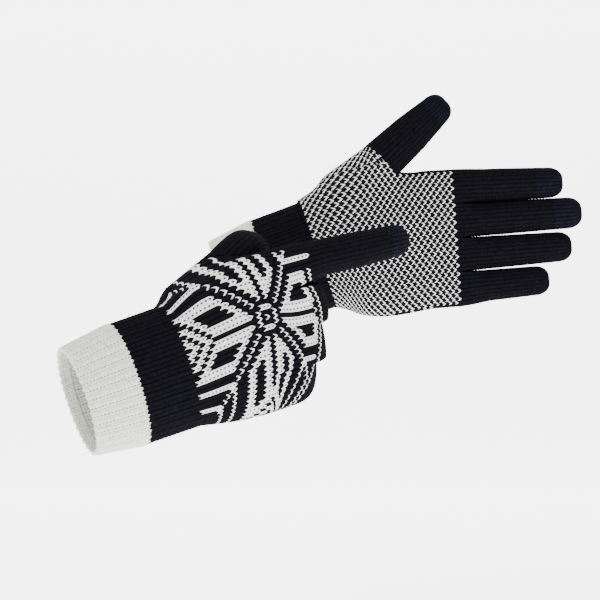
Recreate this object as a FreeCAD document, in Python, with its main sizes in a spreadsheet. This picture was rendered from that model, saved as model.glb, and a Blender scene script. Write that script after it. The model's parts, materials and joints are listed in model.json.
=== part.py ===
import FreeCAD, Part
import Sketcher
import math
import os

# A pair of machine-knitted touchscreen gloves, shown as they sit on two raised hands with the thumbs up.
# Millimetres, +Z up, +X toward the fingertips. The origin is the centre of the left glove's wrist opening.
# The left glove shows its palm toward -Y. The right glove lies in front of it and shows its back.
#
# Each glove is built in its own hand frame: x along the hand, y toward the thumb, z toward -Y, with its
# origin at the wrist, where the cuff meets the hand. "back" is +1 where the back of the hand is on the
# z side (the right glove) and -1 where the palm is (the left glove).

Vector = FreeCAD.Vector
Rotation = FreeCAD.Rotation
Placement = FreeCAD.Placement

FINGERS = ("index", "middle", "ring", "little")
DIGITS = ("thumb",) + FINGERS
BACK = {"left": -1, "right": 1}

COMMON_SIZES = {
    "knit_wall": 2.0,
    "hem_length": 30.0,
    "hem_wall": 3.0,
    "rib_length": 34.0,
    "mouth_width": 64.0,
    "mouth_depth": 49.0,
    "cuff_joint_width": 71.0,
    "cuff_joint_depth": 52.0,
    "wrist_width": 72.0,
    "wrist_depth": 54.0,
    "elastic_width": 1.6,
    "elastic_wall": 0.6,
    "elastic_pitch": 8.0,
    "elastic_first": 5.0,
    "thumb_line": 42.0,
    "thumb_line_width": 90.0,
    "thumb_line_depth": 40.0,
    "thumb_line_shift": 4.0,
    "knuckle_line": 67.0,
    "knuckle_slant": 20.0,
    "knuckle_width": 89.0,
    "knuckle_depth": 28.0,
    "knuckle_shift": 6.7,
    "finger_pitch": 22.3,
    "joint_gap": 0.4,
    "gusset_length": 42.0,
    "gusset_radius": 19.0,
}

# lower length, upper length, radius at the base, at the middle joint and at the tip, and splay in degrees
DIGIT_SIZES = {
    "thumb": (25.0, 31.0, 13.5, 12.2, 9.8, 0.0),
    "index": (38.9, 40.4, 10.8, 10.4, 9.6, -1.5),
    "middle": (47.5, 50.9, 10.8, 10.6, 9.8, 0.0),
    "ring": (50.0, 48.5, 10.8, 10.3, 9.4, 0.5),
    "little": (46.6, 44.0, 10.8, 10.0, 9.2, 1.5),
}

TOUCH_LENGTHS = {"thumb": 20.0, "index": 26.0, "middle": 27.0}

ELASTIC_RINGS = 3

# how each digit lies at rest, in degrees: the bend at its base and the bend at its middle joint
REST_BENDS = {
    "left": {"thumb": (0, 0), "index": (0, 0), "middle": (0, 0), "ring": (0, 0), "little": (0, 0)},
    "right": {"thumb": (66, 40), "index": (12, 10), "middle": (84, 80), "ring": (84, 80), "little": (84, 80)},
}

# hand pitch and yaw and the bend of the cuff against the hand, in degrees, how far the wrist lies toward
# the thumb, and where the fabric of the gusset lets the thumb lie: its base, its spread and its roll
GLOVE_SIZES = {
    "left": {
        "pitch": 4.0, "yaw": 0.0, "cuff_bend": 15.5, "wrist_shift": 2.0,
        "thumb_base_x": 46.5, "thumb_base_y": 60.3, "thumb_base_depth": 4.0,
        "thumb_spread": 39.0, "thumb_roll": 17.0,
    },
    "right": {
        "pitch": 12.5, "yaw": 22.0, "cuff_bend": 5.2, "wrist_shift": -2.0,
        "thumb_base_x": 48.0, "thumb_base_y": 45.8, "thumb_base_depth": 19.0,
        "thumb_spread": 33.0, "thumb_roll": 19.0,
    },
}

# the right wrist, where the cuff meets the hand
RIGHT_WRIST = {"right_wrist_x": -18.6, "right_wrist_y": -168.0, "right_wrist_z": -43.2}

# a primitive's own axes turned so that its height runs along x and its long radius along y
ALONG_X = Rotation(Vector(1, 1, 1), 120)


def all_cells():
    """Every driving dimension, by the alias of its cell."""
    cells = dict(COMMON_SIZES)
    names = ("lower_length", "upper_length", "base_radius", "middle_radius", "tip_radius", "splay")
    for digit, values in DIGIT_SIZES.items():
        cells.update({f"{digit}_{name}": value for name, value in zip(names, values)})
    for digit, length in TOUCH_LENGTHS.items():
        cells[f"{digit}_touch_length"] = length
    for glove in BACK:
        for digit, (base_bend, middle_bend) in REST_BENDS[glove].items():
            cells[f"{glove}_{digit}_base_bend"] = base_bend
            cells[f"{glove}_{digit}_middle_bend"] = middle_bend
        for name, value in GLOVE_SIZES[glove].items():
            cells[f"{glove}_{name}"] = value
    cells.update(RIGHT_WRIST)
    return cells


doc = FreeCAD.newDocument("KnittedGloves")
sheet = doc.addObject("Spreadsheet::Sheet", "Sizes")
for row, (alias, value) in enumerate(all_cells().items(), start=1):
    sheet.set(f"A{row}", alias)
    sheet.set(f"B{row}", str(value))
    sheet.setAlias(f"B{row}", alias)
doc.recompute()


def size(alias):
    """The number in a cell of the sheet."""
    return float(sheet.get(alias))


def named(expression):
    """An expression in which each alias is read from the sheet: words in braces name cells."""
    return expression.replace("{", "Sizes.").replace("}", "")


def bind(thing, **expressions):
    """Bind properties of an object to expressions over the sheet."""
    for prop, expression in expressions.items():
        thing.setExpression(prop.replace("__", "."), named(expression))


# ---- where things are ----


def cuff_length():
    return size("hem_length") + size("rib_length")


def hand_frame(glove):
    """The hand frame of a glove, in the part's frame."""
    turn = Rotation(Vector(0, 0, 1), size(f"{glove}_yaw"))
    upright = Rotation(Vector(1, 0, 0), 90)
    pitch = Rotation(Vector(0, 0, 1), size(f"{glove}_pitch"))
    rotation = turn * upright * pitch
    if glove == "right":
        wrist = Vector(*(size(f"right_wrist_{axis}") for axis in "xyz"))
    else:
        cuff_turn = rotation * Rotation(Vector(0, 0, 1), size("left_cuff_bend"))
        shift = rotation.multVec(Vector(0, size("left_wrist_shift"), 0))
        wrist = cuff_turn.multVec(Vector(cuff_length(), 0, 0)) - shift
    return Placement(wrist, rotation)


def cuff_frame(glove):
    """The cuff's frame: the hand frame turned about the wrist. The cuff lies along its -x."""
    bend = Rotation(Vector(0, 0, 1), size(f"{glove}_cuff_bend"))
    return hand_frame(glove) * Placement(Vector(0, size(f"{glove}_wrist_shift"), 0), bend)


def digit_base(glove, digit):
    """Where a digit starts, in the hand frame: x along the digit, with its palm side along -back * z."""
    back = BACK[glove]
    if digit == "thumb":
        depth = -back * size(f"{glove}_thumb_base_depth")
        place = Vector(size(f"{glove}_thumb_base_x"), size(f"{glove}_thumb_base_y"), depth)
        spread = Rotation(Vector(0, 0, 1), size(f"{glove}_thumb_spread"))
        roll = Rotation(Vector(1, 0, 0), -back * size(f"{glove}_thumb_roll"))
        return Placement(place, spread * roll)
    off_centre = ((len(FINGERS) - 1) / 2 - FINGERS.index(digit)) * size("finger_pitch")
    slope = math.tan(math.radians(size("knuckle_slant")))
    start = size("knuckle_line") + (off_centre + size(f"{digit}_base_radius")) * slope
    splay = Rotation(Vector(0, 0, 1), size(f"{digit}_splay"))
    return Placement(Vector(start, size("knuckle_shift") + off_centre, 0), splay)


def bent_about_crease(glove, radius, bend):
    """A bend about a crease on the palm side of a tube of the given radius."""
    back = BACK[glove]
    crease = Vector(0, 0, -back * radius)
    hinge = Rotation(Vector(0, back, 0), bend)
    return Placement(crease, hinge) * Placement(-crease, Rotation())


def lower_frame(glove, digit):
    """The frame of a digit's lower tube, in the part's frame."""
    bend = size(f"{glove}_{digit}_base_bend")
    turn = bent_about_crease(glove, size(f"{digit}_base_radius"), bend)
    gap = Placement(Vector(size("joint_gap"), 0, 0), Rotation())
    return hand_frame(glove) * digit_base(glove, digit) * gap * turn


def upper_frame(glove, digit):
    """The frame of a digit's upper tube, in the part's frame."""
    bend = size(f"{glove}_{digit}_middle_bend")
    turn = bent_about_crease(glove, size(f"{digit}_middle_radius"), bend)
    along = Placement(Vector(size(f"{digit}_lower_length"), 0, 0), Rotation())
    return lower_frame(glove, digit) * along * turn


# ---- how things are made ----


def tube_body(label, outline, place):
    """A body revolved about its x axis.

    The outline is a closed list of (x expression, y expression); a y of None lies on the axis, and a
    third item of True makes the stretch to the next point a round arc about a point of the axis.
    """
    body = doc.addObject("PartDesign::Body", label)
    body.Label = label
    plane = next(o for o in body.Origin.OriginFeatures if o.Role == "XY_Plane")
    sketch = body.newObject("Sketcher::SketchObject", f"{label}_outline")
    sketch.AttachmentSupport = [(plane, "")]
    sketch.MapMode = "FlatFace"
    points = []
    for x, y, *_ in outline:
        height = sheet.evalExpression(named(y)) if y else 0.0
        points.append(Vector(float(sheet.evalExpression(named(x))), float(height), 0))
    count = len(outline)
    ends = []
    for i, point in enumerate(points):
        after = points[(i + 1) % count]
        if len(outline[i]) > 2:
            falling = after.y < point.y
            centre = Vector(min(point.x, after.x), 0, 0)
            radius = max(point.y, after.y)
            circle = Part.Circle(centre, Vector(0, 0, 1), radius)
            sketch.addGeometry(Part.ArcOfCircle(circle, 0, math.pi / 2), False)
            ends.append((2, 1) if falling else (1, 2))
        else:
            sketch.addGeometry(Part.LineSegment(point, after), False)
            ends.append((1, 2))
    constrain_outline(sketch, outline, ends)
    turned = body.newObject("PartDesign::Revolution", f"{label}_turned")
    turned.Profile = sketch
    turned.ReferenceAxis = (sketch, ["H_Axis"])
    turned.Angle = 360
    body.Tip = turned
    body.Placement = place
    return body


def constrain_outline(sketch, outline, ends):
    """Join the outline's stretches and bind each corner to its expressions."""
    axis, origin, origin_point = -1, -1, 1
    count = len(outline)
    for i, (x, y, *arc) in enumerate(outline):
        start = ends[i][0]
        before = (i - 1) % count
        sketch.addConstraint(Sketcher.Constraint("Coincident", before, ends[before][1], i, start))
        along = float(sheet.evalExpression(named(x)))
        if along:
            distance = Sketcher.Constraint("DistanceX", origin, origin_point, i, start, along)
            number = sketch.addConstraint(distance)
            sketch.setExpression(f"Constraints[{number}]", named(x))
        if y:
            height = float(sheet.evalExpression(named(y)))
            distance = Sketcher.Constraint("DistanceY", origin, origin_point, i, start, height)
            number = sketch.addConstraint(distance)
            sketch.setExpression(f"Constraints[{number}]", named(y))
        else:
            sketch.addConstraint(Sketcher.Constraint("PointOnObject", i, start, axis))
        if arc:
            sketch.addConstraint(Sketcher.Constraint("PointOnObject", i, 3, axis))


def oval(name, across, deep, along="0", shift="0", tilt="0"):
    """An upright ellipse across the hand: its long axis lies along y, its centre at (along, shift)."""
    ring = doc.addObject("Part::Ellipse", name)
    bind(ring, MajorRadius=f"({across}) / 2", MinorRadius=f"({deep}) / 2")
    turn = Rotation(Vector(0, 0, 1), float(sheet.evalExpression(named(tilt))))
    ring.Placement = Placement(Vector(), turn * ALONG_X)
    bind(ring, Placement__Base__x=along, Placement__Base__y=shift)
    return ring


def lofted(name, sections):
    """A solid through a row of ovals."""
    loft = doc.addObject("Part::Loft", name)
    loft.Sections = sections
    loft.Solid = True
    return loft


def combined(kind, name, first, second):
    """Two objects put together by Part::Fuse, Part::Cut or Part::Common."""
    result = doc.addObject(kind, name)
    result.Base = first
    result.Tool = second
    return result


def oval_tube(label, start, end, wall, place):
    """An open oval tube along x. Each end is its x and its outer width and depth."""
    solids = []
    for part, inset in (("outer", "0"), ("inner", f"2 * ({wall})")):
        ends = [
            oval(f"{label}_{part}_{name}", f"{across} - {inset}", f"{deep} - {inset}", along)
            for name, (along, across, deep) in (("start", start), ("end", end))
        ]
        solids.append(lofted(f"{label}_{part}", ends))
    tube = combined("Part::Cut", label, *solids)
    tube.Label = label
    tube.Placement = place
    return tube


# ---- the pieces of a glove ----


def hem_inside(along):
    """The width and the depth of the hem's inner face, as expressions, at a length along the hem."""
    sizes = []
    for name in ("width", "depth"):
        mouth = f"{{mouth_{name}}} - 2 * {{hem_wall}}"
        growth = f"({{cuff_joint_{name}}} - 2 * {{knit_wall}} - ({mouth})) / {{hem_length}}"
        sizes.append(f"({mouth} + ({along}) * {growth})")
    return sizes


def make_cuff(glove):
    """The turned hem, the elastic yarns inside it and the rib."""
    place = cuff_frame(glove)
    mouth = "-({hem_length} + {rib_length})"
    hem_growth = "2 * ({hem_wall} - {knit_wall})"
    hem = oval_tube(
        f"{glove}_cuff_hem",
        (mouth, "{mouth_width}", "{mouth_depth}"),
        ("-{rib_length}", "{cuff_joint_width} + " + hem_growth, "{cuff_joint_depth} + " + hem_growth),
        "{hem_wall}",
        place,
    )
    rib = oval_tube(
        f"{glove}_cuff_rib",
        ("-{rib_length}", "{cuff_joint_width}", "{cuff_joint_depth}"),
        ("0", "{wrist_width}", "{wrist_depth}"),
        "{knit_wall}",
        place,
    )
    rings = []
    for i in range(ELASTIC_RINGS):
        start = f"{{elastic_first}} + {i} * {{elastic_pitch}}"
        ends = [(f"{mouth} + {along}", *hem_inside(along)) for along in (start, start + " + {elastic_width}")]
        rings.append(oval_tube(f"{glove}_elastic_ring_{i + 1}", *ends, "{elastic_wall}", place))
    elastic = doc.addObject("Part::Compound", f"{glove}_cuff_elastic")
    elastic.Label = f"{glove}_cuff_elastic"
    elastic.Links = rings
    return [hem, elastic, rib]


def hand_solid(glove, name, inset):
    """The hand with its thumb gusset, smaller all round by the inset."""
    bend = "{" + glove + "_cuff_bend}"
    sections = [
        oval(
            f"{name}_wrist",
            f"{{wrist_width}} - 2 * {inset}",
            f"{{wrist_depth}} - 2 * {inset}",
            shift="{" + glove + "_wrist_shift}",
            tilt=bend,
        ),
        oval(
            f"{name}_thumb_line",
            f"{{thumb_line_width}} - 2 * {inset}",
            f"{{thumb_line_depth}} - 2 * {inset}",
            "{thumb_line}",
            "{thumb_line_shift}",
        ),
        oval(
            f"{name}_knuckles",
            f"{{knuckle_width}} - 2 * {inset}",
            f"{{knuckle_depth}} - 2 * {inset}",
            "{knuckle_line}",
            "{knuckle_shift}",
            "-{knuckle_slant}",
        ),
    ]
    gusset = doc.addObject("Part::Cone", f"{name}_gusset")
    bind(
        gusset,
        Radius1=f"{{gusset_radius}} - {inset}",
        Radius2=f"{{thumb_base_radius}} - {inset}",
        Height=f"{{gusset_length}} - {inset}",
    )
    root = Placement(Vector(float(sheet.evalExpression(named(inset))) - size("gusset_length"), 0, 0), ALONG_X)
    gusset.Placement = digit_base(glove, "thumb") * root
    return combined("Part::Fuse", name, lofted(f"{name}_body", sections), gusset)


def make_hand(glove):
    """The palm and back panels: the two halves of the hand's tube."""
    panels = []
    for panel, side in (("palm_panel", -BACK[glove]), ("back_panel", BACK[glove])):
        label = f"{glove}_{panel}"
        outer = hand_solid(glove, f"{label}_outer", "0")
        inner = hand_solid(glove, f"{label}_inner", "{knit_wall}")
        shell = combined("Part::Cut", f"{label}_shell", outer, inner)
        half = doc.addObject("Part::Box", f"{label}_half")
        reach = "2 * {knuckle_width}"
        bind(half, Length=reach, Width=reach, Height=reach)
        corner = -size("knuckle_width")
        low = 0 if side > 0 else 2 * corner
        half.Placement = Placement(Vector(corner, corner, low), Rotation())
        result = combined("Part::Common", label, shell, half)
        result.Label = label
        result.Placement = hand_frame(glove)
        panels.append(result)
    return panels


def make_digit(glove, digit):
    """A digit: the lower tube, the upper tube and, where it has one, the touch tip."""
    cell = "{" + digit + "_%s}"
    base, middle, tip = (cell % f"{part}_radius" for part in ("base", "middle", "tip"))
    lower_end = cell % "lower_length" + " - {joint_gap}"
    length = cell % "upper_length"
    wall = "{knit_wall}"
    place = upper_frame(glove, digit)
    lower_outline = [
        ("{joint_gap}", base),
        (lower_end, middle),
        (lower_end, f"{middle} - {wall}"),
        ("{joint_gap}", f"{base} - {wall}"),
    ]
    lower = tube_body(f"{glove}_{digit}_lower", lower_outline, lower_frame(glove, digit))
    dome = f"{length} - {tip}"
    start, start_radius = "{joint_gap}", middle
    pieces = [lower]
    if digit in TOUCH_LENGTHS:
        start = f"{length} - " + cell % "touch_length"
        start_radius = f"{middle} + ({tip} - {middle}) * ({start}) / ({dome})"
        upper_outline = [
            ("{joint_gap}", middle),
            (start, start_radius),
            (start, f"{start_radius} - {wall}"),
            ("{joint_gap}", f"{middle} - {wall}"),
        ]
        pieces.append(tube_body(f"{glove}_{digit}_upper", upper_outline, place))
    closed_outline = [
        (start, start_radius),
        (dome, tip, True),
        (length, None),
        (f"{length} - {wall}", None, True),
        (dome, f"{tip} - {wall}"),
        (start, f"{start_radius} - {wall}"),
    ]
    closed_name = "touch_tip" if digit in TOUCH_LENGTHS else "upper"
    pieces.append(tube_body(f"{glove}_{digit}_{closed_name}", closed_outline, place))
    return pieces


def make_gloves():
    nodes = []
    for glove in BACK:
        nodes += make_cuff(glove) + make_hand(glove)
        for digit in DIGITS:
            nodes += make_digit(glove, digit)
    doc.recompute()
    return nodes


def check_and_write(nodes):
    for thing in doc.Objects:
        bad = [state for state in thing.State if state in ("Invalid", "Error")]
        if bad:
            raise RuntimeError(f"{thing.Label}: {bad}")
    for node in nodes:
        if node.Shape.isNull() or not node.Shape.isValid() or not node.Shape.Solids:
            raise RuntimeError(f"{node.Label}: no valid solid")
    os.makedirs("parts", exist_ok=True)
    for node in nodes:
        node.Shape.exportStep(f"parts/{node.Label}.step")


check_and_write(make_gloves())
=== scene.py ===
"""The looks of a pair of machine-knitted touchscreen gloves, built stitch by stitch around the frame.

Every panel and tube is one sheet of knitting: a grid of wales (columns) and courses (rows) laid over a
smooth surface. Each stitch is a chevron of two yarn legs with its point toward the fingertips.

Lengths are in millimetres in each glove's own hand frame: x along the hand, y toward the thumb, z out of
the back of the hand, origin at the wrist. They become metres in the row frame when a mesh is made.
"""

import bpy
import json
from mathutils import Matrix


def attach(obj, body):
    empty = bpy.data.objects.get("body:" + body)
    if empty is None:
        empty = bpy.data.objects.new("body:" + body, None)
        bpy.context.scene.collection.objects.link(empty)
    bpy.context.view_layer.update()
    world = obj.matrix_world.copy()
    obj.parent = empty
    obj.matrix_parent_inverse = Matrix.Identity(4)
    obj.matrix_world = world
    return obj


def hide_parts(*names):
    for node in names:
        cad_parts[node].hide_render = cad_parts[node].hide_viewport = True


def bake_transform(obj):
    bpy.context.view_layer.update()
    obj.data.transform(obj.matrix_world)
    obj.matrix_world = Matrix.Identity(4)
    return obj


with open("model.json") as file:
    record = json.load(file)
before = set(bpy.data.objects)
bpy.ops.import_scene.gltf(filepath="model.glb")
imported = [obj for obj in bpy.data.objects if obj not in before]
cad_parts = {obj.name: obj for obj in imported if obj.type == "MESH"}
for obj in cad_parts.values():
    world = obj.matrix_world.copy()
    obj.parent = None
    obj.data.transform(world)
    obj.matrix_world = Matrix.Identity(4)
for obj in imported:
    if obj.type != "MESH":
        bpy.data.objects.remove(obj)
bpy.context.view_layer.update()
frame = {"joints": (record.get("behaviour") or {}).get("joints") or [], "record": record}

import json
import math

import bpy
import numpy as np

FINGERS = ("little", "ring", "middle", "index")
DIGITS = ("thumb",) + FINGERS
BACK_SIDE = {"left": -1, "right": 1}
JOINTS = {joint["name"]: joint for joint in frame["joints"]}
MOUNTS = {mount["name"]: mount for mount in frame["record"]["mounts"]}

# the wales round the hand: the palm's, then the thumb gusset's, half of them on each side of the thumb's
# edge, then the back's
HAND_WALES = 72
PALM_WALES = 36
GUSSET_WALES = 26
EDGE_WALE = PALM_WALES + GUSSET_WALES // 2
BACK_START = PALM_WALES + GUSSET_WALES
ROUND_WALES = HAND_WALES + GUSSET_WALES
# the wales round a finger: a face from the palm, a side, a face from the back, and a side. The hand's two
# edges keep some wales for the outer fingers' sides.
EDGE_WALES = 2
FINGER_FACE_WALES = 8
FINGER_SIDE_WALES = FINGER_FACE_WALES // 2
FINGER_WALES = 2 * (FINGER_FACE_WALES + FINGER_SIDE_WALES)
THUMB_WALES = 28

# how long a course is, and where the courses lie along the hand: the right glove's fist pulls the cuff's
# side of the hand long
COURSE = 2.05
STRETCH = {
    "left": ((0, 0.0), (10, 20.5)),
    "right": ((-13, -34.0), (-1, -3.5), (18, 49.0), (22, 59.0), (28, 71.5), (34, 83.8)),
}

# a stitch: the columns and rows of its mesh, how far its point leads in courses, and its relief
STITCH_COLUMNS = 6
COURSE_ROWS = 4
CHEVRON = 0.8
YARN_RELIEF = 0.62
# its height across it, from the groove between wales to the groove between its two legs
LEG_HEIGHTS = (0.0, 0.9, 1.0, 0.25, 1.0, 0.9)
# its height where one course meets the next
COURSE_GROOVE = 0.25
# how far under the smooth surface a groove lies
KNIT_INSET = 0.4
# over how many courses the stitches flatten toward the end of a tube, and what is left of their relief
CLOSING_COURSES = 3
CLOSED_RELIEF = 0.3

# the cuff: its outer width and depth at the mouth, where the hem meets the rib, and at the wrist
MOUTH = (64.0, 49.0)
CUFF_JOINT = (71.0, 52.0)
WRIST = (72.0, 54.0)
# how far the wrist lies toward the thumb
WRIST_OFFSET = {"left": 2.0, "right": -2.0}
HEM_LENGTH = 30.0
RIB_LENGTH = 34.0
HEM_RIB_DEPTH = 0.75
RIB_DEPTH = 0.45
# the doubled hem: how thick it is, how far it stands out from the rib, and its lip over the rib, as places
# past the hem's end and how far each lies under its outside
HEM_WALL = 3.0
HEM_STAND = 1.0
HEM_LIP = ((-0.5, -0.15), (1.0, -0.5), (2.5, -HEM_STAND))
# how many points its section has along each layer and round the fold, and the gap before the fold's first
HEM_STEPS = 30
FOLD_STEPS = 9
HEM_FOLD_EASE = 0.5

# the hand's sections: place along the hand, width, depth and squareness
HAND_SECTIONS = (
    (0.0, *WRIST, 2.0),
    (20.0, 82.0, 46.5, 2.1),
    (42.0, 90.0, 38.0, 2.3),
    (73.0, 89.5, 28.0, 2.6),
    (95.0, 89.0, 22.5, 3.0),
    (120.0, 89.0, 21.5, 3.0),
)
# how far the hand lies toward the thumb beyond the wrist, and where
SHIFT_STATIONS = (0.0, 42.0, 73.0)
SHIFTS_BEYOND_WRIST = (4.0, 6.7)
# over what length of the hand the cuff's bend fades
BEND_REACH = 34.0
# where along the hand the fingers start to round off and where they are round
ROUNDING = {"left": (90.0, 112.0), "right": (68.0, 96.0)}

# digits: lengths before and after the middle joint, and radius at the base, the middle joint and the tip
DIGIT_SIZES = {
    "thumb": (25.0, 31.0, 13.5, 12.2, 9.8),
    "index": (38.9, 40.4, 10.8, 10.4, 9.6),
    "middle": (47.5, 50.9, 10.8, 10.6, 9.8),
    "ring": (50.0, 48.5, 10.8, 10.3, 9.4),
    "little": (46.6, 44.0, 10.8, 10.0, 9.2),
}
TOUCH_LENGTHS = {"thumb": 20.0, "index": 26.0, "middle": 27.0}
JOINT_GAP = 0.4
FINGER_DEPTH = 0.93
# the fingers of the open glove are pressed flat against each other
FINGER_WIDTH = {"left": 1.02, "right": 1.0}
TIP_BLUNTNESS = 0.75
TIP_HOLE = 0.1
TIP_STEPS = 14

# how far the right glove's digits bend at rest at their base and middle joints, and the stretches over
# which the joints bend, measured along the digit from each crease
REST_BENDS = {
    "thumb": (66, 40),
    "index": (12, 10),
    "middle": (84, 80),
    "ring": (84, 80),
    "little": (84, 80),
}
FINGER_ZONE = (-9.0, 11.0)
MIDDLE_ZONE = (-10.0, 10.0)
THUMB_ZONE = (-2.0, 13.0)
THUMB_MIDDLE_ZONE = (-7.0, 10.0)

# the thumb: the angles at which it leaves the hand, how far its tube starts inside the gusset's cone and
# stands proud of it, and the cone, which rises softly out of the hand near the wrist
THUMB_SPREAD = {"left": 39.0, "right": 33.0}
THUMB_ROLL = {"left": 17.0, "right": 19.0}
THUMB_INSET = 5.0
THUMB_STAND = 0.3
GUSSET_LENGTH = 42.0
GUSSET_RADIUS = 19.0
GUSSET_BLEND = 9.0
GUSSET_RISE = 3.5
GUSSET_RISE_LENGTH = 9.0

# where along the hand its surface is sampled, how finely, and where the fingers' own tubes start
SAMPLED = (-40.0, 120.0)
RINGS_PER_COURSE = 2
OUTLINE_POINTS = 360
LONGEST_RAY = 110
BISECTIONS = 10
SPLIT = 47.0
# how far along the hand the gusset has wales of its own
GUSSET_END = 60.0
# how far off a finger's surface a point is put to find which way the surface faces
FACING_STEP = 0.1

# the first course of the hand, where the rib ends
PATTERN_START = -1
# the palm's check: its last course, how many wales stay dark along the thumb's edge and, past the thumb's
# base by so much, along the index finger's
CHECK_END = 43
DARK_GUSSET_WALES = {"left": 1, "right": 22}
GUSSET_BEYOND_BASE = 6.0
DARK_EDGE_WALES = 2

# the star on the back: its centre in courses and wales, and its parts in stitches. A stitch's "reach" is
# how far it is from the nearer diagonal. A petal is a run of stitches off the star's axis and a run of
# reach, and then the same two for its dark hole.
STAR_COURSE = 18
STAR_WALE = 50
STAR_MIDDLE = STAR_WALE + 0.5
LONG_PETAL = ((1, 7), (3, 12), (3, 5), (5, 10))
SIDE_PETAL = ((1, 6), (3, 14), (3, 4), (5, 12))
CENTRE_RING = 2
DIAGONAL = (CENTRE_RING + 1, 15)
BRANCHES = (10, 14)
CHEVRONS = ((14, 15), (17, 18))
CHEVRON_WIDTH = 4
# the courses where the star, its holes and its longest branch end, and the course of the border beyond
STAR_END = 32
HOLE_END = 30
LONGEST_BRANCH = 35
BORDER = 34

# how the fist pulls the right glove's back. Its courses droop toward the cuff on the thumb's side and on
# the little finger's side of the star, by this much times the square of the wales from it.
DROOP = {"left": (0.0, 0.0), "right": (0.052, 0.02)}
DROOP_REACH = 30.0
# the back's wales shift round the thumb's edge by so many wales at each place along the hand, and that
# fades toward the star by this power
EDGE_SHIFT = {
    "left": ((0, 0.0), (1, 0.0)),
    "right": ((0, -0.5), (16, -7.5), (28, -7.0), (42, -3.5), (65, 0.0)),
}
EDGE_SHIFT_POWER = 3
# the star's middle wale shifts at the knuckles by so many wales, from the first to the second place
KNUCKLE_SHIFT = {"left": 0.0, "right": 1.9}
KNUCKLE_SHIFT_FROM = (50.0, 78.0)

# the studio, in metres, with the camera's film and lens in millimetres, and the lights' size and power
CAMERA_SIDE = 0.0494
CAMERA_HEIGHT = -0.007945
CAMERA_DISTANCE = 1.3
CAMERA_FILM = 36
CAMERA_LENS = 120
LIT_POINT = (0.05, -0.05, 0.0)
STUDIO_LIGHTS = (
    ("key", (-0.7, -1.1, 1.3), 0.9, 30.0),
    ("fill", (1.2, -1.0, 0.5), 1.2, 13.0),
    ("top", (0.1, 0.3, 1.5), 1.2, 20.0),
)
WORLD_STRENGTH = 0.9
FLOOR_GLOW = 3.0
FLOOR = -0.22
SWEEP_BEHIND = 0.9
SWEEP_RADIUS = 0.6
SWEEP_HEIGHT = 2.2
SWEEP_DEPTH = 2.0
SWEEP_WIDTH = 3.0


# ---- small geometry ----


def smooth(t):
    t = np.clip(t, 0.0, 1.0)
    return t * t * (3 - 2 * t)


def mixed(a, b, t):
    return a + (b - a) * t


def within(value, run):
    return (value >= run[0]) & (value <= run[1])


def unit(vector):
    return np.asarray(vector, float) / np.linalg.norm(vector)


def turned(points, place, axis, degrees):
    """Points turned about a line, each by its own angle (Rodrigues' formula)."""
    place, axis = np.asarray(place, float), unit(axis)
    angle = np.radians(np.broadcast_to(degrees, points.shape[:-1]))[..., None]
    arm = points - place
    along = (arm @ axis)[..., None] * axis
    return place + arm * np.cos(angle) + np.cross(axis, arm) * np.sin(angle) + along * (1 - np.cos(angle))


def eased(x, xs, ys):
    """A smooth curve through a few points: each stretch is a cubic with the slopes of its neighbours."""
    xs, ys = np.asarray(xs, float), np.asarray(ys, float)
    slopes = np.gradient(ys, xs)
    i = np.clip(np.searchsorted(xs, x) - 1, 0, len(xs) - 2)
    span = xs[i + 1] - xs[i]
    t = np.clip((x - xs[i]) / span, 0, 1)
    rise = smooth(t)
    bow = span * (slopes[i] * t * (1 - t) ** 2 - slopes[i + 1] * t * t * (1 - t))
    return mixed(ys[i], ys[i + 1], rise) + bow


# ---- where a glove is ----


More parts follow.
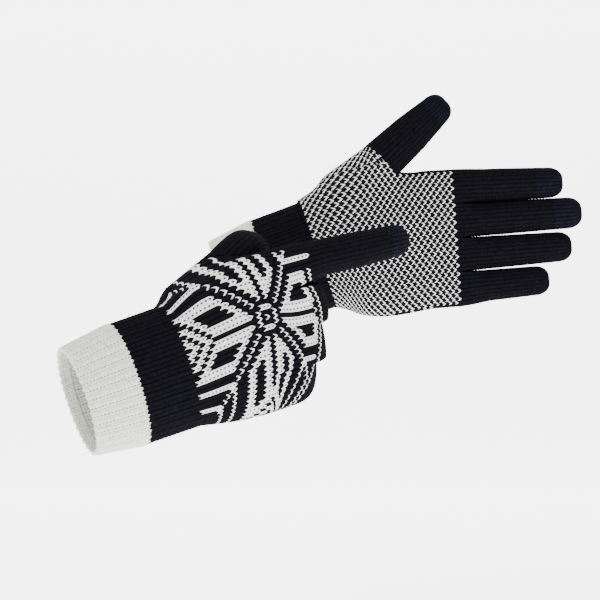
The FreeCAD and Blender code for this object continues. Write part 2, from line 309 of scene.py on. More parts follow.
class Glove:
    """A glove's hand frame and the places of its digits, worked out from the joints and mounts."""

    def __init__(self, name):
        self.name = name
        self.back = BACK_SIDE[name]
        self.stretch = np.array(STRETCH[name], float).T
        creases = {digit: self.joint(digit, "base")[0] for digit in DIGITS}
        across = self.back * self.joint("middle", "base")[1]
        out = unit(np.cross(creases["index"] - creases["little"], across))
        self.axes = np.array([np.cross(across, out), across, self.back * out])
        mouth = MOUNTS[f"{name}_wrist_opening"]
        outward = unit(mouth["axis"])
        cuff_end = 1000 * np.array(mouth["pos_m"]) - outward * (HEM_LENGTH + RIB_LENGTH)
        self.offset = WRIST_OFFSET[name]
        self.wrist = cuff_end - self.offset * self.axes[1]
        forward = self.axes @ -outward
        self.cuff_bend = math.degrees(math.atan2(forward[1], forward[0]))
        self.bends = REST_BENDS if name == "right" else dict.fromkeys(DIGITS, (0, 0))
        self.creases = {digit: self.local(crease) for digit, crease in creases.items()}
        origin = (0, 0, 0)
        rolled = turned(np.eye(3), origin, (1, 0, 0), -THUMB_ROLL[name])
        self.thumb_axes = turned(rolled, origin, (0, 0, 1), THUMB_SPREAD[name])
        self.thumb_base = self.digit_frame("thumb")[0]

    def station(self, course):
        """Where a course lies along the hand."""
        courses, stations = self.stretch
        beyond = np.maximum(course - courses[-1], 0) + np.minimum(course - courses[0], 0)
        return np.interp(course, courses, stations) + beyond * COURSE

    def course_at(self, station):
        """The course at a place along the hand."""
        courses, stations = self.stretch
        beyond = np.maximum(station - stations[-1], 0) + np.minimum(station - stations[0], 0)
        return np.interp(station, stations, courses) + beyond / COURSE

    def joint(self, digit, which):
        """A joint's place in millimetres and its axis, in the row frame."""
        joint = JOINTS[f"{self.name}_{digit}_{which}"]
        return 1000 * np.array(joint["pos_m"]), np.array(joint["axis"])

    def local(self, point):
        return self.axes @ (point - self.wrist)

    def world(self, points):
        """Points of the hand frame, in metres in the row frame."""
        return (points @ self.axes + self.wrist) / 1000

    def digit_frame(self, digit):
        """Where a digit starts in the hand frame, and its axes along it, across it and out of its back."""
        if digit == "thumb":
            axes = self.thumb_axes
        else:
            across = self.axes @ self.joint(digit, "base")[1] * self.back
            axes = np.array([np.cross(across, (0, 0, 1)), across, (0, 0, 1)])
        to_crease = np.array([JOINT_GAP, 0, -DIGIT_SIZES[digit][2]])
        return self.creases[digit] - to_crease @ axes, axes


# ---- the smooth surfaces under the knitting ----


def hand_section(glove, x):
    """Half width, half depth, shift toward the thumb and squareness of the hand at a place along it."""
    columns = list(zip(*HAND_SECTIONS))
    width, depth, power = (eased(x, columns[0], column) for column in columns[1:])
    shift = np.interp(x, SHIFT_STATIONS, (glove.offset, *SHIFTS_BEYOND_WRIST))
    return width / 2, depth / 2, shift, power


def gusset_distance(glove, points):
    """How far points are outside the thumb's gusset, a cone that ends at the thumb's base."""
    local = (points - glove.thumb_base) @ glove.thumb_axes.T
    along = np.clip(-local[..., 0] / GUSSET_LENGTH, 0, 1)
    radius = mixed(DIGIT_SIZES["thumb"][2], GUSSET_RADIUS, along)
    side = np.hypot(local[..., 1], local[..., 2]) - radius
    not_risen = GUSSET_RISE * (1 - smooth(points[..., 0] / GUSSET_RISE_LENGTH))
    return np.maximum(side, local[..., 0]) + not_risen


def joined(a, b, reach):
    """Two distances joined with a soft fillet of the given reach."""
    overlap = np.maximum(reach - np.abs(a - b), 0) / reach
    return np.minimum(a, b) - overlap * overlap * reach / 4


def hand_outline(glove, station, with_gusset):
    """The outline of the hand at a place along it, from the thumb's edge round the back of the hand."""
    half_width, half_depth, shift, power = hand_section(glove, max(station, 0.0))
    bend = math.radians(glove.cuff_bend * (1 - smooth(station / BEND_REACH)))
    centre = np.array([station, shift, 0.0])
    if station < 0:
        share = -station / RIB_LENGTH
        half_width, half_depth = (mixed(a, b, share) / 2 for a, b in zip(WRIST, CUFF_JOINT))
        power = 2.0
        centre = np.array([station * math.cos(bend), station * math.sin(bend) + shift, 0])
    angles = np.linspace(0, 2 * math.pi, OUTLINE_POINTS, endpoint=False)
    cosines, sines = np.cos(angles), np.sin(angles)
    ways = np.stack([-math.sin(bend) * cosines, math.cos(bend) * cosines, sines], axis=1)
    body = (np.abs(cosines / half_width) ** power + np.abs(sines / half_depth) ** power) ** (-1 / power)
    if not with_gusset or station < 0:
        return centre + body[:, None] * ways

    def outside(radii):
        points = centre + radii[..., None] * ways
        return joined(radii - body, gusset_distance(glove, points), GUSSET_BLEND) > 0

    steps = np.arange(LONGEST_RAY, 0, -1.0)
    clear = outside(np.broadcast_to(steps[:, None], (len(steps), OUTLINE_POINTS)))
    last_clear = np.argmin(clear, axis=0) - 1
    far, near = steps[last_clear], steps[last_clear] - 1
    for _ in range(BISECTIONS):
        middle = (near + far) / 2
        clear = outside(middle)
        near, far = np.where(clear, near, middle), np.where(clear, middle, far)
    return centre + near[:, None] * ways


def along_line(points, goal):
    """Points at the given distances along a line of points."""
    reach = np.concatenate([[0], np.cumsum(np.linalg.norm(np.diff(points, axis=0), axis=1))])
    return np.stack([np.interp(goal, reach, points[:, i]) for i in range(3)], axis=1)


def line_length(points):
    """How long a line of points is."""
    return np.linalg.norm(np.diff(points, axis=0), axis=1).sum()


def hand_ring(glove, station):
    """The hand's outline by wale: from the little finger's edge over the palm, the gusset and the back.

    The palm and the back keep their own widths of stitch. The gusset's wales fill what the thumb adds to
    the outline, from the thumb's edge out, and those that find no room lie folded together at its ends.
    """
    half = OUTLINE_POINTS // 2
    loops = [np.roll(hand_outline(glove, station, gusset), -half, axis=0) for gusset in (True, False)]
    full, thumbless = (np.vstack([loop, loop[:1]]) for loop in loops)
    whole, edge = line_length(full), line_length(full[:half + 1])
    palm, back = line_length(thumbless[:half + 1]), line_length(thumbless[half:])
    shift = np.interp(station, *zip(*EDGE_SHIFT[glove.name])) * palm / PALM_WALES
    back_stitch = back / (HAND_WALES - PALM_WALES)
    palm, back, edge = palm + shift, back - shift, edge + shift
    palm_stitch = palm / PALM_WALES
    wale = np.arange(ROUND_WALES * STITCH_COLUMNS) / STITCH_COLUMNS
    star = GUSSET_WALES + STAR_MIDDLE
    pulled = KNUCKLE_SHIFT[glove.name] * smooth(np.interp(station, KNUCKLE_SHIFT_FROM, (0, 1)))
    moved = np.interp(wale, (BACK_START, star, ROUND_WALES), (BACK_START, star + pulled, ROUND_WALES))
    fade = np.maximum((star - wale) / (star - BACK_START), 0) ** EDGE_SHIFT_POWER
    gusset = edge + (wale - EDGE_WALE) * palm_stitch
    goal = np.select(
        [wale < PALM_WALES, wale < EDGE_WALE, wale < BACK_START],
        [wale * palm_stitch, np.maximum(gusset, palm), np.minimum(gusset, whole - back)],
        whole - (ROUND_WALES - moved) * back_stitch + shift * fade,
    )
    return along_line(full, goal)


class Tube:
    """A smooth surface as rings of points, one for each of a rising row of courses.

    A digit's tube also knows the place of each ring along the straight digit that it was bent from.
    """

    def __init__(self, courses, rings, places=None):
        self.courses = np.asarray(courses, float)
        self.places = places
        self.points = np.asarray(rings, float)
        around = np.roll(self.points, -1, axis=1) - np.roll(self.points, 1, axis=1)
        normals = np.cross(around, np.gradient(self.points, axis=0))
        self.normals = normals / np.maximum(np.linalg.norm(normals, axis=2, keepdims=True), 1e-9)

    def course_at(self, place):
        """The course at a place along the straight digit."""
        return np.interp(place, self.places, self.courses)

    def at(self, courses, columns, values):
        """What the rings' points or normals are at any courses, by column."""
        columns = columns % self.points.shape[1]
        i = np.clip(np.searchsorted(self.courses, courses, side="right") - 1, 0, len(self.courses) - 2)
        span = self.courses[i + 1] - self.courses[i]
        t = np.clip((courses - self.courses[i]) / span, 0, 1)[..., None]
        return mixed(values[i, columns], values[i + 1, columns], t)


def hand_droop(glove, wale):
    """How far the courses droop toward the cuff at each wale, which is even over the palm."""
    thumb_pull, little_pull = DROOP[glove.name]
    thumb_edge, little_edge = PALM_WALES - STAR_MIDDLE, HAND_WALES - STAR_MIDDLE
    from_star = np.maximum(wale - GUSSET_WALES - STAR_MIDDLE, thumb_edge)
    over_back = np.where(from_star < 0, thumb_pull, little_pull) * from_star**2
    edges = (little_pull * little_edge**2, thumb_pull * thumb_edge**2)
    return np.where(wale < PALM_WALES, np.interp(wale, (0, PALM_WALES), edges), over_back)


def hand_tube(glove):
    """The rib and the hand as one tube, with the gusset but without the fingers' own walls."""
    stations = np.arange(*SAMPLED)
    even = Tube(stations, [hand_ring(glove, station) for station in stations])
    columns = np.arange(ROUND_WALES * STITCH_COLUMNS)
    droop = hand_droop(glove, columns / STITCH_COLUMNS)
    first, last = (int(RINGS_PER_COURSE * glove.course_at(end)) for end in SAMPLED)
    courses = np.arange(first, last) / RINGS_PER_COURSE
    rings = []
    for course in courses:
        station = glove.station(course)
        drooped = station - droop * smooth(station / DROOP_REACH)
        rings.append(even.at(drooped, columns, even.points))
    return Tube(courses, rings)


def finger_slice(ring, place):
    """The part of the hand's ring that belongs to a finger, closed by straight walls between fingers."""
    ring = np.delete(ring, slice(PALM_WALES * STITCH_COLUMNS, BACK_START * STITCH_COLUMNS), axis=0)
    edge, face, side = (
        STITCH_COLUMNS * wales for wales in (EDGE_WALES, FINGER_FACE_WALES, FINGER_SIDE_WALES)
    )
    palm = edge + place * face
    back = len(ring) - edge - (place + 1) * face
    share = np.linspace(0, 1, side, endpoint=False)[:, None]
    after_palm = mixed(ring[palm + face], ring[back], share)
    after_back = mixed(ring[(back + face) % len(ring)], ring[palm], share)
    if place == len(FINGERS) - 1:
        after_palm = ring[palm + face:back]
    if place == 0:
        after_back = np.vstack([ring[back + face:], ring[:palm]])
    return np.vstack([ring[palm:palm + face], after_palm, ring[back:back + face], after_back])


def digit_profile(glove, digit, start):
    """Places along a straight digit, its radius and its course there, from a start to its rounded tip.

    The courses are counted along the back of the bent digit, so a bend does not stretch its stitches.
    """
    lower, upper, base_radius, middle_radius, tip_radius = DIGIT_SIZES[digit]
    middle, dome = JOINT_GAP + lower, JOINT_GAP + lower + upper - tip_radius
    along = np.arange(start, dome, 1.0)
    radius = np.interp(along, (0, middle, dome), (base_radius, middle_radius, tip_radius))
    arc = np.linspace(0, math.pi / 2, TIP_STEPS)
    along = np.concatenate([along, dome + tip_radius * np.sin(arc)])
    radius = np.concatenate([radius, np.maximum(tip_radius * np.cos(arc) ** TIP_BLUNTNESS, TIP_HOLE)])
    length = np.concatenate([[0], np.cumsum(np.hypot(np.diff(along), np.diff(radius)))])
    for bend, (zone_start, zone_end), crease_radius in zip(
        glove.bends[digit], joint_zones(digit), (base_radius, middle_radius)
    ):
        share = smooth((along - zone_start) / (zone_end - zone_start))
        length = length + math.radians(bend) * 2 * crease_radius * (share - share[0])
    if digit == "thumb":
        return along, radius, length / COURSE
    base = glove.digit_frame(digit)[0][0]
    return along, radius, glove.course_at(base + start + length)


def round_ring(glove, along, radius, wales):
    """A round section of a straight digit, from where its palm's face starts."""
    first = -math.pi / 2 - math.pi * FINGER_FACE_WALES / FINGER_WALES
    angle = first + np.linspace(0, 2 * math.pi, wales * STITCH_COLUMNS, endpoint=False)
    flat = np.full(len(angle), along)
    width, depth = FINGER_WIDTH[glove.name] * radius, FINGER_DEPTH * radius
    return np.stack([flat, width * np.cos(angle), depth * np.sin(angle)], axis=1)


def joint_zones(digit):
    """The stretches along a straight digit over which its base joint and its middle joint bend."""
    base, middle = (THUMB_ZONE, THUMB_MIDDLE_ZONE) if digit == "thumb" else (FINGER_ZONE, MIDDLE_ZONE)
    knuckle = JOINT_GAP + DIGIT_SIZES[digit][0]
    return np.array(base) + JOINT_GAP, np.array(middle) + knuckle


def bent(glove, digit, points):
    """Points of a straight digit, bent as it lies at rest."""
    lower, _, base_radius, middle_radius, _ = DIGIT_SIZES[digit]
    along = points[..., 0]
    creases = ((JOINT_GAP, 0, -base_radius), (JOINT_GAP + lower, 0, -middle_radius))
    joints = list(zip(glove.bends[digit], joint_zones(digit), creases))
    for bend, (start, end), crease in reversed(joints):
        share = smooth((along - start) / (end - start))
        points = turned(points, crease, (0, 1, 0), bend * share)
    return points


def digit_to_hand(glove, digit, points):
    """Points of a straight digit, bent as it lies at rest, in the hand frame."""
    base, axes = glove.digit_frame(digit)
    return bent(glove, digit, points) @ axes + base


def split_course(glove):
    """The course at which the hand parts into the fingers' tubes."""
    return int(glove.course_at(SPLIT))


def finger_tube(glove, finger, hand):
    """A finger from inside the hand to its tip. Its first courses are the hand's own."""
    place = FINGERS.index(finger)
    base, axes = glove.digit_frame(finger)
    start = glove.station(split_course(glove)) - base[0]
    round_from, round_to = ROUNDING[glove.name]
    rings, facing, shares = [], [], []
    alongs, radii, courses = digit_profile(glove, finger, start)
    everywhere = np.arange(hand.points.shape[1])
    for along, radius in zip(alongs, radii):
        ring = round_ring(glove, along, radius, FINGER_WALES)
        share = smooth((base[0] + along - round_from) / (round_to - round_from))
        outward = np.zeros_like(ring)
        if share < 1:
            at = np.full(len(everywhere), glove.course_at(base[0] + along))
            whole = hand.at(at, everywhere, hand.points)
            part = (finger_slice(whole, place) - base) @ axes.T
            ring = mixed(part, ring, share)
            outward = finger_slice(hand.at(at, everywhere, hand.normals), place) @ axes.T
        bent_ring = digit_to_hand(glove, finger, ring)
        rings.append(bent_ring)
        facing.append(digit_to_hand(glove, finger, ring + outward * FACING_STEP) - bent_ring)
        shares.append(share)
    tube = Tube(courses, rings, alongs)
    face, side = FINGER_FACE_WALES * STITCH_COLUMNS, FINGER_SIDE_WALES * STITCH_COLUMNS
    columns = np.arange(len(rings[0]))
    on_face = (columns <= face) | within(columns, (face + side, 2 * face + side))
    lean = np.where(on_face, 1 - np.array(shares)[:, None], 0)[..., None]
    normals = mixed(tube.normals, np.array(facing) / FACING_STEP, lean)
    tube.normals = normals / np.linalg.norm(normals, axis=2, keepdims=True)
    return tube


def thumb_tube(glove):
    """The thumb from inside the gusset's cone to its tip."""
    alongs, radii, courses = digit_profile(glove, "thumb", -THUMB_INSET)
    rings = [
        digit_to_hand(glove, "thumb", round_ring(glove, along, radius + THUMB_STAND, THUMB_WALES))
        for along, radius in zip(alongs, radii)
    ]
    return Tube(courses, rings, alongs)


def hem_profile():
    """The doubled hem in section, as places along the cuff and how far they stand out.

    It runs up the inner layer, round the fold at the mouth and back along the outer layer to the lip.
    """
    fold = HEM_WALL / 2
    turning = fold - HEM_LENGTH - RIB_LENGTH
    half_turn = np.linspace(-math.pi / 2, -3 * math.pi / 2, FOLD_STEPS)
    straight = turning + HEM_FOLD_EASE
    inner = [(along, -HEM_WALL) for along in np.linspace(-RIB_LENGTH - 1, straight, HEM_STEPS)]
    rolled = [(turning + fold * math.cos(a), -fold + fold * math.sin(a)) for a in half_turn]
    outer = [(along, 0.0) for along in np.linspace(straight, -RIB_LENGTH - 2, HEM_STEPS)]
    lip = [(-RIB_LENGTH + along, stand) for along, stand in HEM_LIP]
    return np.array(inner + rolled + outer + lip)


def hem_tube(glove):
    """The hem as a tube whose courses run along its section."""
    mouth = -(HEM_LENGTH + RIB_LENGTH)
    profile = hem_profile()
    length = np.concatenate([[0], np.cumsum(np.linalg.norm(np.diff(profile, axis=0), axis=1))])
    bend = math.radians(glove.cuff_bend)
    angles = math.pi + np.linspace(0, 2 * math.pi, OUTLINE_POINTS + 1)
    sizes = [(at_mouth, at_rib + 2 * HEM_STAND) for at_mouth, at_rib in zip(MOUTH, CUFF_JOINT)]
    rings = []
    for along, offset in profile:
        share = (along - mouth) / HEM_LENGTH
        stand = offset - KNIT_INSET
        half_width, half_depth = (mixed(*ends, share) / 2 + stand for ends in sizes)
        across = half_width * np.cos(angles)
        x = along * math.cos(bend) - across * math.sin(bend)
        y = along * math.sin(bend) + across * math.cos(bend) + glove.offset
        loop = np.stack([x, y, half_depth * np.sin(angles)], axis=1)
        goal = np.linspace(0, line_length(loop), HAND_WALES * STITCH_COLUMNS, endpoint=False)
        rings.append(along_line(loop, goal))
    return Tube(length / COURSE, rings)


# ---- the knitting ----


# the materials of a mesh: painted shade in the grooves of dark knitting, light yarn, dark yarn, and
# painted shade in the pits of light knitting
DARK, WHITE, RIDGE, SHADED_PIT = 0, 1, 2, 3
STITCH_TURN = np.abs(np.linspace(-1, 1, STITCH_COLUMNS, endpoint=False))
CHEVRON_LEAD = CHEVRON * (1 - STITCH_TURN)
COURSE_ARCH = np.sqrt(1 - (2 * np.arange(COURSE_ROWS) / COURSE_ROWS - 1) ** 2)
COURSE_HEIGHTS = mixed(COURSE_GROOVE, 1.0, COURSE_ARCH)
STITCH_HEIGHTS = YARN_RELIEF * np.outer(COURSE_HEIGHTS, LEG_HEIGHTS)


def face_colours(first, last, wales, colours, rows):
    """The material of each face of a patch, from the colours of its stitches.

    A light stitch gives its first and last row of faces to a dark neighbour, so the courses keep apart.
    """
    chosen = colours(np.arange(first - 1, last + 1)[:, None], np.arange(*wales)[None, :])
    below, here, above = chosen[:-2], chosen[1:-1], chosen[2:]
    by_row = np.repeat(here, COURSE_ROWS, axis=0)
    by_row[::COURSE_ROWS] = np.minimum(here, below)
    by_row[COURSE_ROWS - 1::COURSE_ROWS] = np.minimum(here, above)
    faces = np.repeat(by_row[:rows], STITCH_COLUMNS, axis=1)
    row = np.arange(faces.shape[0])[:, None] % COURSE_ROWS
    column = np.arange(faces.shape[1]) % STITCH_COLUMNS
    # dark stitches take the dark yarn's colour, but their outer columns keep the darker groove material:
    # painted shade between wales
    faces[(faces == DARK) & within(column, (1, STITCH_COLUMNS - 2))] = RIDGE
    # light stitches get painted shade, a near-black material, in the pit between their legs where one
    # course meets the next
    between_courses = (row == 0) | (row == COURSE_ROWS - 1)
    between_legs = within(column, (STITCH_COLUMNS // 2 - 1, STITCH_COLUMNS // 2))
    faces[(faces == WHITE) & between_courses & between_legs] = SHADED_PIT
    return faces


class Patch:
    """A patch of stitches on a tube, over a run of courses and a run of wales."""

    def __init__(self, tube, courses, wales, colours, ribs=None, closing=CLOSING_COURSES):
        first, last = courses
        end = tube.courses[-1]
        rows = np.arange(math.ceil((min(last, end) - first) * COURSE_ROWS) + 1)
        columns = np.arange(wales[0] * STITCH_COLUMNS, wales[1] * STITCH_COLUMNS + 1)
        course = (first + rows / COURSE_ROWS)[:, None]
        to_end = np.clip((end - course) / closing, 0, 1)
        place = course + CHEVRON_LEAD[columns % STITCH_COLUMNS] * to_end
        across = np.broadcast_to(columns, place.shape)
        height = STITCH_HEIGHTS[rows[:, None] % COURSE_ROWS, columns % STITCH_COLUMNS]
        height = height * mixed(CLOSED_RELIEF, 1.0, to_end) - KNIT_INSET
        if ribs:
            wave = (1 - np.cos(math.pi * (columns / STITCH_COLUMNS - 0.5))) / 2
            height = height - ribs(place) * wave
        surface, normals = (tube.at(place, across, values) for values in (tube.points, tube.normals))
        self.points = surface + height[..., None] * normals
        self.colours = face_colours(first, last, wales, colours, len(rows) - 1)
        self.stitches = np.stack(np.broadcast_arrays(columns / STITCH_COLUMNS, course), axis=2)


def knitted(glove, name, patches, materials, nodes):
    """One mesh of several patches, in metres in the row frame, with a flat chart of its stitches."""
    points, faces, colours, charts = [], [], [], []
    count, shelf = 0, 0.0
    for patch in patches:
        rows, columns, _ = patch.points.shape
        number = count + np.arange(rows * columns).reshape(rows, columns)
        corners = [number[:-1, :-1], number[:-1, 1:], number[1:, 1:], number[1:, :-1]]
        if glove.back < 0:
            corners.reverse()
        faces.append(np.stack(corners, axis=2).reshape(-1, 4))
        points.append(patch.points.reshape(-1, 3))
        colours.append(patch.colours.ravel())
        chart = (patch.stitches - patch.stitches[0, 0]) + (shelf, 0)
        shelf = chart[..., 0].max() + 1
        charts.append(chart.reshape(-1, 2))
        count += rows * columns
    faces, charts = np.vstack(faces), np.vstack(charts)
    mesh = bpy.data.meshes.new(name)
    mesh.vertices.add(count)
    mesh.vertices.foreach_set("co", glove.world(np.vstack(points)).ravel())
    mesh.loops.add(faces.size)
    mesh.loops.foreach_set("vertex_index", faces.ravel())
    mesh.polygons.add(len(faces))
    mesh.polygons.foreach_set("loop_start", np.arange(0, faces.size, 4))
    mesh.update(calc_edges=True)
    mesh.polygons.foreach_set("material_index", np.concatenate(colours))
    mesh.polygons.foreach_set("use_smooth", np.ones(len(faces), bool))
    flat = mesh.uv_layers.new(name="OFBake")
    flat.data.foreach_set("uv", (charts / charts.max())[faces.ravel()].ravel())
    for material in materials:
        mesh.materials.append(material)
    piece = bpy.data.objects.new(name, mesh)
    bpy.context.scene.collection.objects.link(piece)
    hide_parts(*nodes)
    return piece


# ---- colours of the stitches ----


def all_dark(course, wale):
    return np.full(np.broadcast(course, wale).shape, DARK)


def rib_stripes(course, wale):
    """The hem's 1x1 rib: every other wale stands back and is painted a darker cream as shade."""
    return np.broadcast_to(np.where(wale % 2 == 0, DARK, WHITE), np.broadcast(course, wale).shape)


def check(glove, course, wale):
    """The palm: single stitches of light and dark in turn, up to the fingers."""
    gusset_end = glove.course_at(glove.thumb_base[0] + GUSSET_BEYOND_BASE)
    dark_in_gusset = EDGE_WALE - DARK_GUSSET_WALES[glove.name]
    dark_from = np.where(course < gusset_end, dark_in_gusset, PALM_WALES - DARK_EDGE_WALES)
    inside = within(course, (0, CHECK_END)) & (wale >= 1) & (wale < dark_from)
    return np.where(inside & ((course + wale) % 2 == 0), WHITE, DARK)


def star(course, wale):
    """The back: an eight-petalled star in a centre ring, with branches off its diagonals and chevrons."""
    along = abs(course - STAR_COURSE)
    across = abs(wale - STAR_WALE)
    p, q = np.maximum(along, across), np.minimum(along, across)
    reach = p - q
    light = (p == 0) | ((p == CENTRE_RING) & (q < CENTRE_RING)) | ((reach == 0) & within(p, DIAGONAL))
    petals = ((along > across, LONG_PETAL), (across > along, SIDE_PETAL))
    for lies_so, (width, petal, hole_width, hole) in petals:
        inside = within(q, width) & within(reach, petal)
        dark = within(q, hole_width) & within(reach, hole) & (course <= HOLE_END)
        light = light | (lies_so & inside & ~dark)
    for branch in BRANCHES:
        light = light | ((reach > 0) & (q == branch))
    for run in CHEVRONS:
        light = light | (within(reach, run) & (q <= CHEVRON_WIDTH))
    branch = BRANCHES[0]
    longest = (wale == STAR_WALE - branch) & within(course, (STAR_COURSE + branch, LONGEST_BRANCH))
    border = (course == BORDER) & (wale >= STAR_WALE - LONG_PETAL[0][1])
    light = light & within(course, (PATTERN_START, STAR_END)) | longest | border
    return np.where(light, WHITE, DARK)


def hand_colours(glove):
    """The hand's pattern by wale round the hand: the palm's wales come first, then the back's."""

    def colours(course, wale):
        back = np.where(wale < BACK_START, DARK, star(course, wale - GUSSET_WALES))
        return np.where(wale < EDGE_WALE, check(glove, course, wale), back)

    return colours


def finger_colours(glove, place):
    """A finger's pattern: the hand's own, carried on along the wales of its palm side and its back."""
    face, side = FINGER_FACE_WALES, FINGER_SIDE_WALES
    palm = EDGE_WALES + place * face
    back = ROUND_WALES - EDGE_WALES - (place + 1) * face
    wales_of_hand = np.full(FINGER_WALES, -1)
    wales_of_hand[:face] = palm + np.arange(face)
    wales_of_hand[face + side:2 * face + side] = back + np.arange(face)
    if place == len(FINGERS) - 1:
        wales_of_hand[face:face + side] = palm + face + np.arange(side)
    if place == 0:
        wales_of_hand[2 * face + side:] = back + face + np.arange(side)
    hand = hand_colours(glove)

    def colours(course, wale):
        hand_wale = wales_of_hand[wale % FINGER_WALES]
        return np.where(hand_wale < 0, DARK, hand(course, hand_wale))

    return colours


# ---- materials ----


def yarn(name, colour, roughness=0.9, variation=0.14, sheen=0.12, shine=0.08):
    """A matt spun yarn: its colour drifts a little along it and fine fibres catch the light."""
    material = bpy.data.materials.new(name)
    material.use_nodes = True
    nodes, links = material.node_tree.nodes, material.node_tree.links
    shader = nodes["Principled BSDF"]
    shader.inputs["Roughness"].default_value = roughness
    shader.inputs["Sheen Weight"].default_value = sheen
    shader.inputs["Sheen Roughness"].default_value = 0.6
    shader.inputs["Specular IOR Level"].default_value = shine
    coordinates = nodes.new("ShaderNodeTexCoord")
    drift = nodes.new("ShaderNodeTexNoise")
    drift.inputs["Scale"].default_value = 420.0
    drift.inputs["Detail"].default_value = 4.0
    ramp = nodes.new("ShaderNodeValToRGB")
    for element, lift in zip(ramp.color_ramp.elements, (1 - variation, 1 + variation)):
        element.color = (*(channel * lift for channel in colour), 1)
    ramp.color_ramp.elements[0].position = 0.3
    ramp.color_ramp.elements[1].position = 0.7
    fibres = nodes.new("ShaderNodeTexNoise")
    fibres.inputs["Scale"].default_value = 4200.0
    fibres.inputs["Detail"].default_value = 3.0
    bump = nodes.new("ShaderNodeBump")
    bump.inputs["Strength"].default_value = 0.5
    bump.inputs["Distance"].default_value = 0.0002
    for noise in (drift, fibres):
        links.new(coordinates.outputs["Object"], noise.inputs["Vector"])
    links.new(drift.outputs["Fac"], ramp.inputs["Fac"])
    links.new(ramp.outputs["Color"], shader.inputs["Base Color"])
    links.new(fibres.outputs["Fac"], bump.inputs["Height"])
    links.new(bump.outputs["Normal"], shader.inputs["Normal"])
    return material


CREAM = yarn("hem_cream_yarn", (0.66, 0.66, 0.60))
DARK_LOOKS = {"variation": 0.3, "sheen": 0.0, "shine": 0.03}
# painted shade: a darker copy of the navy yarn for the grooves between wales
NAVY_GROOVE_SHADE = yarn("dark_navy_groove_painted_shade", (0.0014, 0.0014, 0.002), **DARK_LOOKS)
NAVY_RIDGE = yarn("dark_navy_yarn", (0.0038, 0.0036, 0.0056), **DARK_LOOKS)
STAR_WHITE = yarn("pattern_white_yarn", (0.66, 0.66, 0.645))
CONDUCTIVE = yarn("conductive_tip_yarn", (0.0055, 0.0048, 0.0105), **DARK_LOOKS)
ELASTIC = yarn("elastic_yarn", (0.5, 0.5, 0.46), roughness=0.7)
# painted shade: near black in the pits between the legs of light stitches
WHITE_PIT_SHADE = yarn("pattern_white_pit_painted_shade", (0.02, 0.02, 0.022))
# painted shade: a darker cream on the hem's recessed wales
CREAM_PAINTED_SHADE = yarn("hem_cream_painted_shade", (0.55, 0.55, 0.49))
# painted shade: a dark cream in the pits between the legs of the hem's stitches
CREAM_PIT_SHADE = yarn("hem_cream_pit_painted_shade", (0.2, 0.2, 0.17))
PATTERN = (NAVY_GROOVE_SHADE, STAR_WHITE, NAVY_RIDGE, WHITE_PIT_SHADE)


# ---- the pieces ----


def hem_ribs(course):
    """How deep the hem's ribs are: the same all over."""
    return np.full_like(course, HEM_RIB_DEPTH)


def cuff_ribs(course):
    """How deep the dark ribs are: fully in the cuff, and not at all two courses into the hand."""
    return RIB_DEPTH * smooth(1 - course / 2)


def make_cuff(glove, hand):
    """The hem and the rib, which move with the hand, and the yarn of the elastic."""
    name = glove.name
    hem = hem_tube(glove)
    courses = int(hem.courses[-1] - CHEVRON)
    patch = Patch(hem, (0, courses), (0, HAND_WALES), rib_stripes, hem_ribs, closing=CHEVRON)
    # the hem's recessed wales and its pits take painted shade
    hem_yarns = (CREAM_PAINTED_SHADE, CREAM, CREAM_PAINTED_SHADE, CREAM_PIT_SHADE)
    piece = knitted(glove, f"{name}_knit_hem", [patch], hem_yarns, [f"{name}_cuff_hem"])
    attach(piece, f"{name}_hand")
    rib_start = math.floor(glove.course_at(-RIB_LENGTH))
    patches = [
        Patch(hand, (rib_start, PATTERN_START), wales, all_dark, cuff_ribs)
        for wales in ((0, PALM_WALES), (BACK_START, ROUND_WALES))
    ]
    piece = knitted(glove, f"{name}_knit_rib", patches, PATTERN, [f"{name}_cuff_rib"])
    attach(piece, f"{name}_hand")
    elastic = bpy.data.objects[f"{name}_cuff_elastic"]
    for slot in elastic.material_slots:
        slot.material = ELASTIC


def digit_courses(glove, digit, tube):
    """The courses where a digit's pieces meet: start, knuckle seam, middle seam, tip seam and end."""
    base_zone, middle_zone = joint_zones(digit)
    first = 0 if digit == "thumb" else split_course(glove)
    seam = max(int(tube.course_at(base_zone[0]) - CHEVRON), first)
    middle = int(tube.course_at((base_zone[1] + middle_zone[0]) / 2) - CHEVRON / 2)
    last = math.ceil(tube.courses[-1])
    tip = last
    if digit in TOUCH_LENGTHS:
        tip = last - round(TOUCH_LENGTHS[digit] / COURSE)
    return first, seam, middle, tip, last


def zone_ends(glove, digit):
    """The start and end of each joint's bend, on the digit's palm side, in the row frame."""
    ends = []
    for zone, radius in zip(joint_zones(digit), DIGIT_SIZES[digit][2:4]):
        line = np.array([[along, 0, -radius] for along in zone])
        ends.append([tuple(point) for point in glove.world(digit_to_hand(glove, digit, line))])
    return ends


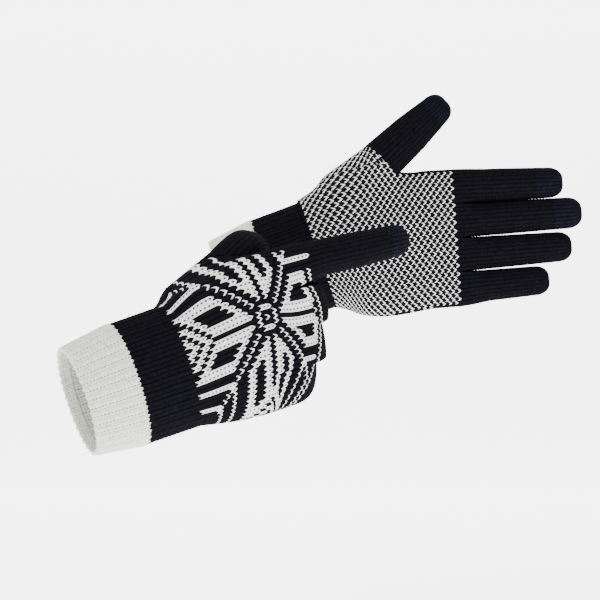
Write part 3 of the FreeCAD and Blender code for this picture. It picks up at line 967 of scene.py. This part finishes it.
def make_digit(glove, digit, hand, panels):
    """A digit's lower, upper and tip pieces. Its courses before the knuckle go to the panels' patches."""
    name = f"{glove.name}_{digit}"
    if digit == "thumb":
        tube, wales, colours = thumb_tube(glove), THUMB_WALES, all_dark
    else:
        colours = finger_colours(glove, FINGERS.index(digit))
        tube, wales = finger_tube(glove, digit, hand), FINGER_WALES
    first, seam, middle, tip, last = digit_courses(glove, digit, tube)
    if digit != "thumb":
        half_side = FINGER_SIDE_WALES // 2
        palm_end, back_end = FINGER_FACE_WALES + half_side, FINGER_WALES - half_side
        panels["palm_panel"].append(Patch(tube, (first, seam), (-half_side, palm_end), colours))
        panels["back_panel"].append(Patch(tube, (first, seam), (palm_end, back_end), colours))
    hand_body, root, end = f"{glove.name}_hand", f"{name}_root", f"{name}_end"
    base_ends, middle_ends = zone_ends(glove, digit)
    lower = Patch(tube, (seam, middle), (0, wales), colours)
    piece = knitted(glove, f"{name}_knit_lower", [lower], PATTERN, [f"{name}_lower"])
    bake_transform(piece)
    upper = Patch(tube, (middle, tip), (0, wales), colours)
    piece = knitted(glove, f"{name}_knit_upper", [upper], PATTERN, [f"{name}_upper"])
    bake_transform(piece)
    if digit in TOUCH_LENGTHS:
        touch = Patch(tube, (tip, last), (0, wales), all_dark)
        # the tip's grooves keep the painted shade of the dark knitting
        yarns = (NAVY_GROOVE_SHADE, STAR_WHITE, CONDUCTIVE, WHITE_PIT_SHADE)
        piece = knitted(glove, f"{name}_knit_tip", [touch], yarns, [f"{name}_touch_tip"])
        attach(piece, end)


def make_gloves():
    """Both gloves. Each panel is one mesh: the hand's own patches and what its fingers add."""
    for name in BACK_SIDE:
        glove = Glove(name)
        hand = hand_tube(glove)
        make_cuff(glove, hand)
        courses = (PATTERN_START, split_course(glove))
        gusset_courses = (PATTERN_START, math.ceil(glove.course_at(GUSSET_END)))
        colours = hand_colours(glove)
        panels = {
            "palm_panel": [
                Patch(hand, courses, (0, PALM_WALES), colours, cuff_ribs),
                Patch(hand, gusset_courses, (PALM_WALES, EDGE_WALE), colours, cuff_ribs),
            ],
            "back_panel": [
                Patch(hand, courses, (BACK_START, ROUND_WALES), colours, cuff_ribs),
                Patch(hand, gusset_courses, (EDGE_WALE, BACK_START), colours, cuff_ribs),
            ],
        }
        for digit in DIGITS:
            make_digit(glove, digit, hand, panels)
        for panel, slot in (("palm_panel", "check_knit"), ("back_panel", "star_knit")):
            patches = panels[panel]
            piece = knitted(glove, f"{name}_knit_{panel}", patches, PATTERN, [f"{name}_{panel}"])
            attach(piece, f"{name}_hand")


# ---- the studio ----


def look_at(thing, target):
    """Turns a thing so that its -Z points at a target."""
    way = np.array(target) - np.array(thing.location)
    thing.rotation_euler = (
        math.acos(-way[2] / np.linalg.norm(way)),
        0,
        math.atan2(-way[0], way[1]),
    )


def make_camera():
    """A level camera that looks along +Y from in front of the gloves."""
    camera = bpy.data.objects.new("camera", bpy.data.cameras.new("camera"))
    camera.data.sensor_width = CAMERA_FILM
    camera.data.lens = CAMERA_LENS
    camera.location = (CAMERA_SIDE, -CAMERA_DISTANCE, CAMERA_HEIGHT)
    camera.rotation_euler = (math.pi / 2, 0, 0)
    bpy.context.scene.collection.objects.link(camera)
    bpy.context.scene.camera = camera


def make_lights():
    """Three soft lights and an even white surrounding."""
    for name, place, size, power in STUDIO_LIGHTS:
        data = bpy.data.lights.new(name, "AREA")
        data.size, data.energy = size, power
        light = bpy.data.objects.new(name, data)
        light.location = place
        look_at(light, LIT_POINT)
        bpy.context.scene.collection.objects.link(light)
    world = bpy.data.worlds.new("studio")
    world.use_nodes = True
    background = world.node_tree.nodes["Background"]
    background.inputs["Color"].default_value = (1, 1, 1, 1)
    background.inputs["Strength"].default_value = WORLD_STRENGTH
    bpy.context.scene.world = world


def make_floor():
    """A pale sweep: a floor under the gloves that curves up into a wall behind them."""
    flat = [(-SWEEP_DEPTH, FLOOR)]
    curve = [
        (SWEEP_RADIUS * math.sin(a), FLOOR + SWEEP_RADIUS * (1 - math.cos(a)))
        for a in np.linspace(0, math.pi / 2, 24)
    ]
    wall = [(SWEEP_RADIUS, FLOOR + SWEEP_HEIGHT)]
    profile = flat + [(y + SWEEP_BEHIND, z) for y, z in curve + wall]
    verts = [(x, y, z) for x in (-SWEEP_WIDTH, SWEEP_WIDTH) for y, z in profile]
    count = len(profile)
    faces = [(i, i + count, i + count + 1, i + 1) for i in range(count - 1)]
    mesh = bpy.data.meshes.new("sweep")
    mesh.from_pydata(verts, [], faces)
    for polygon in mesh.polygons:
        polygon.use_smooth = True
    paint = bpy.data.materials.new("pale_floor")
    paint.use_nodes = True
    shader = paint.node_tree.nodes["Principled BSDF"]
    shader.inputs["Base Color"].default_value = (0.9, 0.9, 0.9, 1)
    shader.inputs["Roughness"].default_value = 0.9
    shader.inputs["Emission Color"].default_value = (1, 1, 1, 1)
    shader.inputs["Emission Strength"].default_value = FLOOR_GLOW
    mesh.materials.append(paint)
    sweep = bpy.data.objects.new("sweep", mesh)
    bpy.context.scene.collection.objects.link(sweep)


make_camera()
make_lights()
make_floor()
make_gloves()
